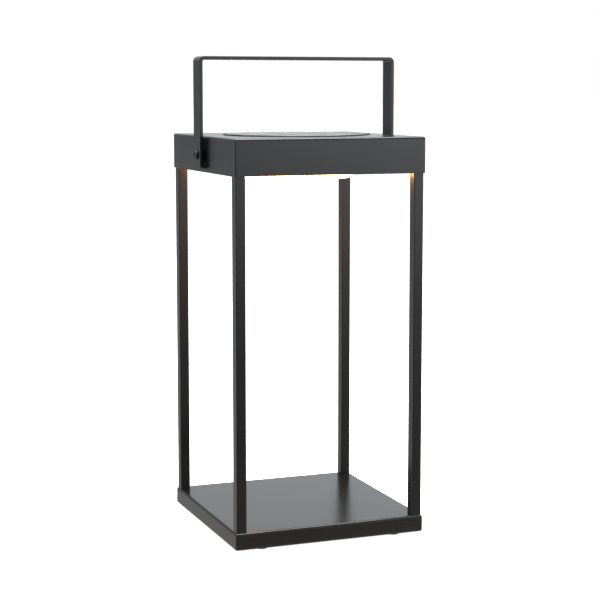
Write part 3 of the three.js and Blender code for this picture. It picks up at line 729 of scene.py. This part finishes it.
def handle():
    """Flat bar bent into a U, with rounded corners at its ends and a bore through each leg."""
    low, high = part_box("handle_strap")
    width = high.y - low.y
    bend = STRAP_BEND - STRAP_THICK / 2
    corner = STRAP_CORNER
    x = high.x - STRAP_THICK / 2
    top = high.z - STRAP_THICK / 2
    stations = []  # (x, z, direction of travel in degrees, width)
    for i in range(9):
        turn = math.radians(90 * i / 8)
        stations.append((-x, low.z + corner - corner * math.cos(turn), LEG_TURN,
                         width - 2 * (corner - corner * math.sin(turn))))
    leg_start = low.z + corner
    for share in (0.25, 0.5, 0.75):
        stations.append((-x, leg_start + (top - bend - leg_start) * share, LEG_TURN, width))
    for px, pz in arc(-x + bend, top - bend, bend, 180, 90, 12):
        travel = math.degrees(math.atan2(pz - (top - bend), px - (-x + bend))) - 90
        stations.append((px, pz, travel, width))
    for share in (0.2, 0.4, 0.5):
        stations.append((-x + bend + (2 * x - 2 * bend) * share, top, 0, width))
    mirrored = [(-px, pz, -travel, wide) for px, pz, travel, wide in reversed(stations[:-1])]
    bm = bmesh.new()
    loops = []
    for px, pz, travel, wide in stations + mirrored:
        normal = math.radians(travel + 90)
        section = strap_section(wide, STRAP_THICK, STRAP_EDGE)
        loops.append([
            (px + math.cos(normal) * v, u, pz + math.sin(normal) * v) for u, v in section
        ])
    rings = join_loops(bm, loops, closed=False)
    cap(bm, rings[0])
    cap(bm, rings[-1])
    strap = piece("handle_flat_bar", bm, COAT, "powder_coat", "handle_strap", body="handle")
    cut(strap, pivot_drill(STRAP_BORE))


def hexagon_bm(across, z0, z1):
    """A six-sided bar along Z, given its size across the flats."""
    return spin([(0, z0), (across / math.sqrt(3), z0), (across / math.sqrt(3), z1), (0, z1)], steps=6)


M4_RADIUS = 2 * MM
M4_PITCH = 0.7 * MM
THREAD_DEPTH = 0.35 * MM
M4_HEAD_RADIUS = 3.8 * MM
BUTTON_HEAD_HEIGHT = 2.2 * MM
HEAD_SIDE = 0.45 * MM  # straight side below a button head's dome
HEX_SOCKET = 2.5 * MM
SOCKET_DEPTH = 1.3 * MM
PLAIN_SHANK = 5.2 * MM
SPACER_BORE = 2.15 * MM


def pivot_screw(side, turn):
    """Button-head screw with a hexagon socket, turned about Z and then laid along the pivot."""
    low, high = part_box(f"pivot_screw_{side}")
    end, tip = sorted((abs(low.x), abs(high.x)))
    seat = tip - BUTTON_HEAD_HEIGHT
    radius = M4_HEAD_RADIUS
    profile = [(0, end), (M4_RADIUS - 0.5 * MM, end), (M4_RADIUS, end + 0.6 * MM)]
    z = end + 0.8 * MM
    while z < seat - PLAIN_SHANK:
        profile += [(M4_RADIUS, z), (M4_RADIUS - THREAD_DEPTH, z + M4_PITCH * 0.5)]
        z += M4_PITCH
    profile += [(M4_RADIUS, z), (M4_RADIUS, seat)]
    profile += [(radius - 0.2 * MM, seat), (radius, seat + 0.2 * MM)]
    for degrees in range(0, 91, 10):
        angle = math.radians(degrees)
        profile.append((radius * (0.5 + 0.5 * math.cos(angle)),
                        seat + HEAD_SIDE + (BUTTON_HEAD_HEIGHT - HEAD_SIDE) * math.sin(angle)))
    profile.append((0, tip))
    screw = move(spin(profile, steps=64), (0, 0, PIVOT_Z), turn)
    obj = piece(f"pivot_screw_{side}_steel", screw, BLACK_STEEL, "black_steel", f"pivot_screw_{side}")
    socket = hexagon_bm(HEX_SOCKET, tip - SOCKET_DEPTH, tip + MM)
    cut(obj, move(socket, (0, 0, PIVOT_Z), turn))


def pivot_spacer(side, turn):
    low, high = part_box(f"pivot_spacer_{side}")
    start, stop = sorted((abs(low.x), abs(high.x)))
    outer = (high.z - low.z) / 2
    profile = rounded([
        (SPACER_BORE, start), (outer, start, 1), (outer, stop, 1), (SPACER_BORE, stop, 0.5),
        (SPACER_BORE, start),
    ], 0.4 * MM)[:-1]
    spacer = move(spin(profile, closed=True, steps=96), (0, 0, PIVOT_Z), turn)
    piece(f"pivot_spacer_{side}_nylon", spacer, BLACK, "black_nylon", f"pivot_spacer_{side}")


def pivots():
    for side in SIDES:
        outward = 90 if side == "right" else -90
        turn = Matrix.Rotation(math.radians(outward), 4, "Y")
        pivot_screw(side, turn)
        pivot_spacer(side, turn)


# ---------------------------------------------------------------- solar module


SEAL_WIDTH = 2.4 * MM
RIM_RISE = 1.0 * MM  # trim ring above the head's top
RIM_ROUND = 0.9 * MM
SKIRT_RADIUS = 58.7 * MM  # inside of the trim ring below the cover
LEDGE_GAP = 0.1 * MM  # glue between the trim ring's ledge and the cover
COVER_GAP = 0.2 * MM
SHADE_BLOCK_HALF_WIDTH = 2.5 * MM
SHADE_BLOCK_REACH = 2.2 * MM  # black block beyond the trim ring, put there as painted shade
SHADE_BLOCK_ROOT = 1.1 * MM
SHADE_BLOCK_THICK = 0.8 * MM
SHADE_BLOCK_TURN = -21  # degrees round from +X, where the disc's edge turns away on the camera's right
DOME_STEPS = 20


def solar_top():
    """Foam seal under the sheet, trim ring in the hole with a small black block as painted shade at its
    edge, and the clear cover.
    """
    low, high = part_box("seal_ring")
    outer = high.x
    inner = outer - SEAL_WIDTH
    ring = rounded([
        (inner, low.z), (outer, low.z, 1), (outer, high.z, 1), (inner, high.z), (inner, low.z),
    ], 0.2 * MM)[:-1]
    piece("seal_ring_foam", spin(ring, closed=True), RUBBER, "rubber", "seal_ring")

    cover_low, cover_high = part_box("solar_cover")
    bezel_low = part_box("solar_bezel")[0].z
    radius = -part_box("solar_bezel")[0].x
    rim = head_high.z + RIM_RISE
    edge = cover_high.x
    ledge = cover_low.z - LEDGE_GAP
    profile = rounded([
        (SKIRT_RADIUS, bezel_low), (radius, bezel_low, 0.3), (radius, rim, 1),
        (edge + COVER_GAP, rim, 0.15), (edge + COVER_GAP, ledge), (SKIRT_RADIUS, ledge),
        (SKIRT_RADIUS, bezel_low),
    ], RIM_ROUND, 6)[:-1]
    bezel = piece("solar_bezel_ring", spin(profile, closed=True), BLACK, "black_plastic", "solar_bezel")
    # painted shade: a small black block on the ring's outer edge darkens the disc's right edge, where
    # only shade falls
    shade_block = box_bm((radius - SHADE_BLOCK_ROOT, -SHADE_BLOCK_HALF_WIDTH, rim - SHADE_BLOCK_THICK),
                 (radius + SHADE_BLOCK_REACH, SHADE_BLOCK_HALF_WIDTH, rim - 0.03 * MM))
    cut(bezel, move(shade_block, turn=Matrix.Rotation(math.radians(SHADE_BLOCK_TURN), 4, "Z")), "UNION")

    rise = cover_high.z - rim
    ease = 0.2 * MM
    shares = [1 - k / DOME_STEPS for k in range(DOME_STEPS + 1)]
    dome = [(edge * share, rim + rise * (1 - share * share)) for share in shares]
    profile = [(0, cover_low.z), (edge - ease, cover_low.z), (edge, cover_low.z + ease), *dome]
    piece("solar_cover_clear", spin(profile), CLEAR, "clear_cover", "solar_cover")
    solar_panel()


STRIP_COUNT = 8
CELL_STRIP = 13 * MM
CELL_GAP = 0.7 * MM
CELL_MARGIN = 3 * MM  # bare backing round the strips
CELL_TOP = 0.45 * MM  # backing's face below the panel's highest point
CELL_THICK = 0.2 * MM
RIBBON_HALF_WIDTH = 0.45 * MM
RIBBON_TOP = 0.28 * MM  # above the backing
RIBBON_MARGIN = 0.4 * MM


def solar_panel():
    """Round backing with strips of silicon, each crossed by two ribbons."""
    low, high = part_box("solar_panel")
    radius = high.x
    face = high.z - CELL_TOP
    disc = spin(rounded([(0, low.z), (radius, low.z, 1), (radius, face, 1), (0, face)], 0.2 * MM))
    piece("solar_panel_backing", disc, BACKING, "solar_cells", "solar_panel")
    limit = radius - CELL_MARGIN
    strips, ribbons = [], []
    for i in range(STRIP_COUNT):
        x0 = (i - STRIP_COUNT / 2) * (CELL_STRIP + CELL_GAP) + CELL_GAP / 2
        x1 = x0 + CELL_STRIP
        far = max(abs(x0), abs(x1))
        if far >= limit:
            continue
        reach = math.sqrt(limit ** 2 - far ** 2)
        for sy in BOTH_WAYS:
            y0, y1 = sorted((sy * CELL_GAP / 2, sy * reach))
            strips.append(box_bm((x0, y0, face), (x1, y1, face + CELL_THICK)))
            for x in (x0 + CELL_STRIP * 0.25, x0 + CELL_STRIP * 0.75):
                ribbons.append(box_bm(
                    (x - RIBBON_HALF_WIDTH, y0 + RIBBON_MARGIN, face + CELL_THICK),
                    (x + RIBBON_HALF_WIDTH, y1 - RIBBON_MARGIN, face + RIBBON_TOP)))
    piece("solar_cells_silicon", merge(*strips), SILICON, "solar_cells")
    piece("solar_ribbons", merge(*ribbons), RIBBON, "solar_cells")


# ---------------------------------------------------------------- underside of the head


DIFFUSER_SKIN = 1.6 * MM
DIFFUSER_ROUND = 4 * MM
DIFFUSER_SEAT = 1.5 * MM  # flange thickness
DIFFUSER_SAG = 1.6 * MM  # drawn this far below the CAD's diffuser


def diffuser():
    """Round opal cup with a flange at its top."""
    low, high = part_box("diffuser")
    flange = high.x
    r = flange - DIFFUSER_FLANGE
    skin = DIFFUSER_SKIN
    corner = DIFFUSER_ROUND
    seat = high.z - DIFFUSER_SEAT
    bottom = low.z - DIFFUSER_SAG
    outer = arc(r - corner, bottom + corner, corner, 270, 360, 12)
    inner = arc(r - corner, bottom + corner, corner - skin, 360, 270, 10)
    profile = [(0, bottom), *outer, (r, seat), (flange, seat), (flange, high.z), (r - skin, high.z),
               *inner, (0, bottom + skin)]
    piece("diffuser_opal", spin(profile), OPAL, "opal_diffuser", "diffuser")


BUTTON_RADIUS = 3.6 * MM
BUTTON_LENGTH = 4.0 * MM  # from its face to the collar that keeps it in
BUTTON_ROUND = 0.6 * MM
BUTTON_DISH = 0.35 * MM
COLLAR_THICK = 1.0 * MM
STEM_RADIUS = 1.5 * MM
BUSHING_RADIUS = 5.1 * MM


def switch():
    """Dished push button on its stem, and the switch's chamfered nut."""
    low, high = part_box("power_button")
    middle = (low + high) / 2
    radius = BUTTON_RADIUS
    collar = (high.x - low.x) / 2
    shelf = low.z + BUTTON_LENGTH
    top = shelf + COLLAR_THICK
    dish = [(radius * 0.72 * s, low.z + BUTTON_DISH * (1 - s * s)) for s in (0, 0.25, 0.5, 0.75, 1)]
    side = arc(radius - BUTTON_ROUND, low.z + BUTTON_ROUND, BUTTON_ROUND, 270, 360, 6)
    profile = dish + side + [(radius, shelf), (collar, shelf), (collar, top), (STEM_RADIUS, top),
                             (STEM_RADIUS, high.z), (0, high.z)]
    piece("power_button_cap", move(spin(profile, steps=96), (0, middle.y, 0)), BLACK, "black_plastic",
          "power_button", body="button")

    nut_low, nut_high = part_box("switch_nut")
    across = nut_high.x - nut_low.x
    flats_out = Matrix.Rotation(math.radians(30), 4, "Z")
    nut = move(hexagon_bm(across, nut_low.z, nut_high.z), (0, middle.y, 0), flats_out)
    obj = piece("switch_nut_steel", nut, BLACK_STEEL, "black_steel", "switch_nut")
    start, stop = nut_low.z - 0.1 * MM, nut_low.z + 0.9 * MM
    chamfer = spin([(across * 0.47, start), (across * 0.7, start), (across * 0.7, stop)],
                   closed=True, steps=96)
    bore = rod_bm(BUSHING_RADIUS, 0, middle.y, nut_low.z - MM, nut_high.z + MM, 96)
    cut(obj, merge(move(chamfer, (0, middle.y, 0)), bore))


PAN_HEAD_HEIGHT = 2.4 * MM
PAN_HEAD_SIDE = 0.8 * MM  # straight side below the pan head's dome
THREAD_STOP = -0.8 * MM
M4_ROOT = 1.7 * MM
POST_SCREW_LENGTH = 10 * MM
CROSS_ARM = 1.9 * MM
CROSS_HALF_WIDTH = 0.42 * MM
CROSS_FLOOR = 1.1 * MM  # recess floor above the head's seat


def pan_head_profile():
    """M4 thread below z = 0 and a pan head above it."""
    radius = M4_HEAD_RADIUS
    end = -POST_SCREW_LENGTH
    profile = [(0, end), (M4_RADIUS - 0.6 * MM, end), (M4_RADIUS, end + 0.6 * MM)]
    z = end + 0.8 * MM
    while z < THREAD_STOP:
        profile += [(M4_RADIUS, z), (M4_ROOT, z + M4_PITCH / 2)]
        z += M4_PITCH
    ease = 0.15 * MM
    profile += [(M4_RADIUS, -2 * ease), (M4_RADIUS, 0), (radius - ease, 0), (radius, ease)]
    for degrees in range(0, 91, 15):
        angle = math.radians(degrees)
        profile.append((radius * (0.55 + 0.45 * math.cos(angle)),
                        PAN_HEAD_SIDE + (PAN_HEAD_HEIGHT - PAN_HEAD_SIDE) * math.sin(angle)))
    return profile + [(0, PAN_HEAD_HEIGHT)]


def small_screws():
    """The posts' screws, with a cross recess in each head: up through the base, down in the head."""
    for level in ("lower", "upper"):
        for corner in CORNERS:
            name = f"post_screw_{level}_{corner}"
            low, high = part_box(name)
            middle = (low + high) / 2
            if level == "upper":
                seat, turn = high.z - PAN_HEAD_HEIGHT, Matrix.Identity(4)
            else:
                seat, turn = low.z + PAN_HEAD_HEIGHT, UPSIDE_DOWN
            spot = (middle.x, middle.y, seat)
            screw = move(spin(pan_head_profile(), steps=48), spot, turn)
            obj = piece(f"{name}_zinc", screw, ZINC, "zinc_steel", name)
            for a, b in ((CROSS_ARM, CROSS_HALF_WIDTH), (CROSS_HALF_WIDTH, CROSS_ARM)):
                cut(obj, move(box_bm((-a, -b, CROSS_FLOOR), (a, b, 3 * MM)), spot, turn))


FOOT_EASE = 0.35 * MM
GROOVE_DEPTH = 0.2 * MM


def feet():
    """Rubber pads with three shallow grooves round their underside."""
    for corner in CORNERS:
        name = f"foot_pad_{corner}"
        low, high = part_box(name)
        middle = (low + high) / 2
        radius = (high.x - low.x) / 2
        profile = [(0, low.z), (radius * 0.3, low.z)]
        for share in (0.4, 0.58, 0.76):
            profile += [(radius * share, low.z), (radius * (share + 0.04), low.z + GROOVE_DEPTH),
                        (radius * (share + 0.08), low.z)]
        profile += [(radius - FOOT_EASE, low.z), (radius, low.z + FOOT_EASE),
                    (radius, high.z), (0, high.z)]
        pad = move(spin(profile, steps=72), (middle.x, middle.y, 0))
        piece(f"{name}_rubber", pad, RUBBER, "rubber", name)


# ---------------------------------------------------------------- inner CAD nodes that keep their shape


def dress_inner_nodes():
    finishes = {
        "light_housing": BLACK, "battery_cradle": BLACK, "switch_body": BLACK, "reflector_ring": WHITE,
        "led_board": BOARD_WHITE, "charge_board": BOARD_GREEN, "battery_cell": WRAP,
        "battery_lead_red": WIRE_RED, "solar_lead": WIRE_RED, "battery_lead_black": WIRE_BLACK,
        "led_lead": WIRE_BLACK, "switch_lead": WIRE_BLACK, "battery_contact_negative": ZINC,
        "battery_contact_positive": ZINC, "pivot_nut_left": ZINC, "pivot_nut_right": ZINC,
        "module_screw_1": ZINC, "module_screw_2": ZINC, "module_screw_3": ZINC,
    }
    for corner in CORNERS:
        finishes[f"post_plug_lower_{corner}"] = ZINC
        finishes[f"post_plug_upper_{corner}"] = ZINC
    for name, material in finishes.items():
        node = frame["nodes"][name]
        node.data.materials.clear()
        node.data.materials.append(material)
        soften(node, 40)


# ---------------------------------------------------------------- stage

WALL_SCALE = 4.0  # strength that goes with the levels below
BACKDROP = 1.02  # what the camera sees behind the lantern: just white
CEILING = 0.05
COOL = (0.96, 1.0, 1.03)  # tint of every ring but the lowest
WARM = (1.08, 1.0, 0.93)  # tint of the lowest ring

# Height of the direction looked in (its Z) over which each ring of wall takes over from the one below.
LOW_STARTS = (-0.31, -0.22)
EYE_STARTS = (-0.12, -0.02)
HIGH_STARTS = (0.02, 0.15)
CEILING_STARTS = (0.33, 0.5)

# Brightness of each ring of wall: (compass degrees from +X, level).
EYE_WALL = ((-180, 1.5), (-165, 0.7), (-145, 0.05), (-111, 0.0), (-90, 0.1), (-75, 0.36),
            (-60, 1.3), (-40, 1.3), (-10, 0.3), (69, 0.28), (95, 0.11), (111, 0.03), (150, 0.15),
            (165, 0.7), (180, 1.5))
LOW_WALL = ((-180, 1.3), (-165, 0.6), (-145, 0.05), (-111, 0.0), (-75, 0.0), (-50, 0.0), (-10, 0.1),
            (69, 0.2), (95, 0.17), (111, 0.12), (150, 0.18), (165, 0.6), (180, 1.3))
FLOOR_WALL = ((-180, 0.7), (-165, 0.4), (-145, 0.05), (-111, 0.02), (-75, 0.15), (-50, 0.28),
              (-10, 0.1), (69, 0.2), (95, 0.15), (111, 0.12), (150, 0.15), (165, 0.4), (180, 0.7))
HIGH_WALL = ((-180, 0.8), (-165, 0.5), (-145, 0.1), (-111, 0.02), (-75, 0.12), (-50, 0.2), (-10, 0.25),
             (62, 0.29), (78, 0.25), (95, 0.16), (111, 0.1), (150, 0.15), (165, 0.5), (180, 0.8))

FLOOR_REACH = 30
SOFTBOX_HEIGHT = 2.4
SOFTBOX_SIDE = 2.2
SOFTBOX_POWER = 150


def stage():
    bm = bmesh.new()
    bmesh.ops.create_grid(bm, x_segments=1, y_segments=1, size=FLOOR_REACH)
    mesh = bpy.data.meshes.new("floor")
    bm.to_mesh(mesh)
    bm.free()
    mesh.materials.append(floor_paint())
    floor = bpy.data.objects.new("floor", mesh)
    bpy.context.scene.collection.objects.link(floor)

    studio_walls()
    floor.visible_glossy = False
    floor.visible_diffuse = False
    bpy.context.scene.view_settings.view_transform = "Standard"


def studio_walls():
    """White where the camera sees it; reflections see walls of uneven brightness."""
    world = bpy.data.worlds.new("studio")
    world.use_nodes = True
    tree = world.node_tree
    background = tree.nodes["Background"]
    direction = tree.nodes.new("ShaderNodeTexCoord").outputs["Generated"]
    split = tree.nodes.new("ShaderNodeSeparateXYZ")
    tree.links.new(direction, split.inputs["Vector"])
    compass = tree.nodes.new("ShaderNodeMath")
    compass.operation = "ARCTAN2"
    tree.links.new(split.outputs["Y"], compass.inputs[0])
    tree.links.new(split.outputs["X"], compass.inputs[1])
    turn = spread(tree, compass.outputs["Value"], 0, 1, -math.pi, math.pi)

    def ring(stops, tint=COOL):
        ramp = tree.nodes.new("ShaderNodeValToRGB")
        ramp.color_ramp.interpolation = "B_SPLINE"
        elements = ramp.color_ramp.elements
        while len(elements) < len(stops):
            elements.new(0.5)
        for element, (degrees, level) in zip(elements, stops):
            element.position = (degrees + 180) / 360
            element.color = (*[level * share for share in tint], 1)
        tree.links.new(turn, ramp.inputs["Fac"])
        return ramp.outputs["Color"]

    height = split.outputs["Z"]
    whole = ring(FLOOR_WALL, WARM)
    for (start, end), above in ((LOW_STARTS, ring(LOW_WALL)), (EYE_STARTS, ring(EYE_WALL)),
                                (HIGH_STARTS, ring(HIGH_WALL)),
                                (CEILING_STARTS, (CEILING, CEILING, CEILING, 1))):
        whole = mix_colors(tree, spread(tree, height, 0, 1, start, end), whole, above)
    tree.links.new(whole, background.inputs["Color"])
    background.inputs["Strength"].default_value = WALL_SCALE

    shown = tree.nodes.new("ShaderNodeBackground")
    shown.inputs["Color"].default_value = (1, 1, 1, 1)
    shown.inputs["Strength"].default_value = BACKDROP
    path = tree.nodes.new("ShaderNodeLightPath")
    either = tree.nodes.new("ShaderNodeMixShader")
    tree.links.new(path.outputs["Is Camera Ray"], either.inputs["Fac"])
    tree.links.new(background.outputs["Background"], either.inputs[1])
    tree.links.new(shown.outputs["Background"], either.inputs[2])
    tree.links.new(either.outputs["Shader"], tree.nodes["World Output"].inputs["Surface"])
    bpy.context.scene.world = world


def overhead_softbox():
    """A square light box straight above, facing down."""
    data = bpy.data.lights.new("overhead", "AREA")
    data.shape = "SQUARE"
    data.size = SOFTBOX_SIDE
    data.energy = SOFTBOX_POWER
    light = bpy.data.objects.new("overhead", data)
    light.location = (0, 0, SOFTBOX_HEIGHT)
    light.visible_camera = False
    bpy.context.scene.collection.objects.link(light)


head_shell()
base_pan()
posts()
head_chassis()
handle()
pivots()
solar_top()
diffuser()
switch()
small_screws()
feet()
dress_inner_nodes()
flatten_shading()
stage()
overhead_softbox()
